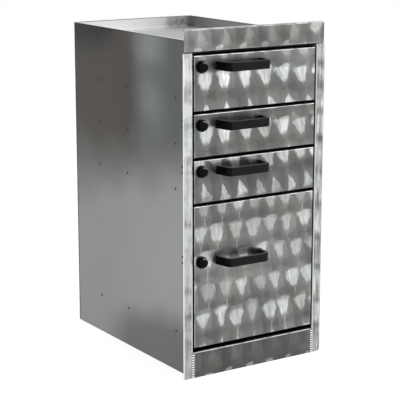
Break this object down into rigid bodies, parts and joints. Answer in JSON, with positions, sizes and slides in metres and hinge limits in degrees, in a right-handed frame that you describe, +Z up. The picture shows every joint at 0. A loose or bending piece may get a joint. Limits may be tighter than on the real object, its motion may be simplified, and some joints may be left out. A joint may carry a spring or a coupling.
{
  "type": "drawer cabinet",
  "caption": "Tall narrow aluminium cabinet with a flanged front frame, a recessed top, and drawers on slides, each with a black bow handle and a push lock.",
  "frame": {"origin": "on the floor under the middle of the whole cabinet, handles included", "axes": "+Z up, the drawers open towards -Y, +X to the right as seen from the front"},
  "size_m": [0.4, 0.6026, 0.82],
  "materials": {
    "brushed_aluminium": "plain brushed sheet",
    "swirled_aluminium": "engine-turned: rows of overlapping brushed spots",
    "weld_aluminium": "bright rippled weld",
    "mill_aluminium": "mill finish sheet",
    "zinc_steel": "zinc plated steel",
    "bright_steel": "bright steel",
    "black_plastic": "satin black moulding"
  },
  "bodies": {
    "carcass": {"left_side_panel": "brushed_aluminium", "right_side_panel": "brushed_aluminium", "back_panel": "brushed_aluminium", "bottom_panel": "mill_aluminium", "top_rail": "swirled_aluminium", "bottom_rail": "swirled_aluminium", "top_tray": "brushed_aluminium", "left_weld_bead": "weld_aluminium", "right_weld_bead": "weld_aluminium", "slide_channel_1_left": "zinc_steel", "slide_channel_1_right": "zinc_steel", "strike_1": "zinc_steel", "slide_channel_2_left": "zinc_steel", "slide_channel_2_right": "zinc_steel", "strike_2": "zinc_steel", "slide_channel_3_left": "zinc_steel", "slide_channel_3_right": "zinc_steel", "strike_3": "zinc_steel", "slide_channel_4_left": "zinc_steel", "slide_channel_4_right": "zinc_steel", "strike_4": "zinc_steel"},
    "drawer_1": {"drawer_1_front": "swirled_aluminium", "drawer_1_tray": "mill_aluminium", "drawer_1_left_runner": "zinc_steel", "drawer_1_right_runner": "zinc_steel", "drawer_1_handle": "black_plastic", "latch_1_ring": "black_plastic", "latch_1_case": "zinc_steel"},
    "knob_1": {"latch_1_knob": "black_plastic"},
    "bolt_1": {"latch_1_bolt": "bright_steel"},
    "drawer_2": {"drawer_2_front": "swirled_aluminium", "drawer_2_tray": "mill_aluminium", "drawer_2_left_runner": "zinc_steel", "drawer_2_right_runner": "zinc_steel", "drawer_2_handle": "black_plastic", "latch_2_ring": "black_plastic", "latch_2_case": "zinc_steel"},
    "knob_2": {"latch_2_knob": "black_plastic"},
    "bolt_2": {"latch_2_bolt": "bright_steel"},
    "drawer_3": {"drawer_3_front": "swirled_aluminium", "drawer_3_tray": "mill_aluminium", "drawer_3_left_runner": "zinc_steel", "drawer_3_right_runner": "zinc_steel", "drawer_3_handle": "black_plastic", "latch_3_ring": "black_plastic", "latch_3_case": "zinc_steel"},
    "knob_3": {"latch_3_knob": "black_plastic"},
    "bolt_3": {"latch_3_bolt": "bright_steel"},
    "drawer_4": {"drawer_4_front": "swirled_aluminium", "drawer_4_tray": "mill_aluminium", "drawer_4_left_runner": "zinc_steel", "drawer_4_right_runner": "zinc_steel", "drawer_4_handle": "black_plastic", "latch_4_ring": "black_plastic", "latch_4_case": "zinc_steel"},
    "knob_4": {"latch_4_knob": "black_plastic"},
    "bolt_4": {"latch_4_bolt": "bright_steel"}
  },
  "joints": [
    {"name": "drawer_1_slide", "type": "slide", "parent": "carcass", "child": "drawer_1", "axis": [0, -1, 0], "range_m": [0, 0.34]},
    {"name": "knob_1_press", "type": "slide", "parent": "drawer_1", "child": "knob_1", "axis": [0, 1, 0], "range_m": [0, 0.0075]},
    {"name": "bolt_1_shoot", "type": "slide", "parent": "drawer_1", "child": "bolt_1", "axis": [-1, 0, 0], "range_m": [0, 0.0075]},
    {"name": "drawer_2_slide", "type": "slide", "parent": "carcass", "child": "drawer_2", "axis": [0, -1, 0], "range_m": [0, 0.34]},
    {"name": "knob_2_press", "type": "slide", "parent": "drawer_2", "child": "knob_2", "axis": [0, 1, 0], "range_m": [0, 0.0075]},
    {"name": "bolt_2_shoot", "type": "slide", "parent": "drawer_2", "child": "bolt_2", "axis": [-1, 0, 0], "range_m": [0, 0.0075]},
    {"name": "drawer_3_slide", "type": "slide", "parent": "carcass", "child": "drawer_3", "axis": [0, -1, 0], "range_m": [0, 0.34]},
    {"name": "knob_3_press", "type": "slide", "parent": "drawer_3", "child": "knob_3", "axis": [0, 1, 0], "range_m": [0, 0.0075]},
    {"name": "bolt_3_shoot", "type": "slide", "parent": "drawer_3", "child": "bolt_3", "axis": [-1, 0, 0], "range_m": [0, 0.0075]},
    {"name": "drawer_4_slide", "type": "slide", "parent": "carcass", "child": "drawer_4", "axis": [0, -1, 0], "range_m": [0, 0.34]},
    {"name": "knob_4_press", "type": "slide", "parent": "drawer_4", "child": "knob_4", "axis": [0, 1, 0], "range_m": [0, 0.0075]},
    {"name": "bolt_4_shoot", "type": "slide", "parent": "drawer_4", "child": "bolt_4", "axis": [-1, 0, 0], "range_m": [0, 0.0075]}
  ],
  "couplings": [
    {"joint": "bolt_1_shoot", "follows": "knob_1_press", "ratio": 1},
    {"joint": "bolt_2_shoot", "follows": "knob_2_press", "ratio": 1},
    {"joint": "bolt_3_shoot", "follows": "knob_3_press", "ratio": 1},
    {"joint": "bolt_4_shoot", "follows": "knob_4_press", "ratio": 1}
  ]
}
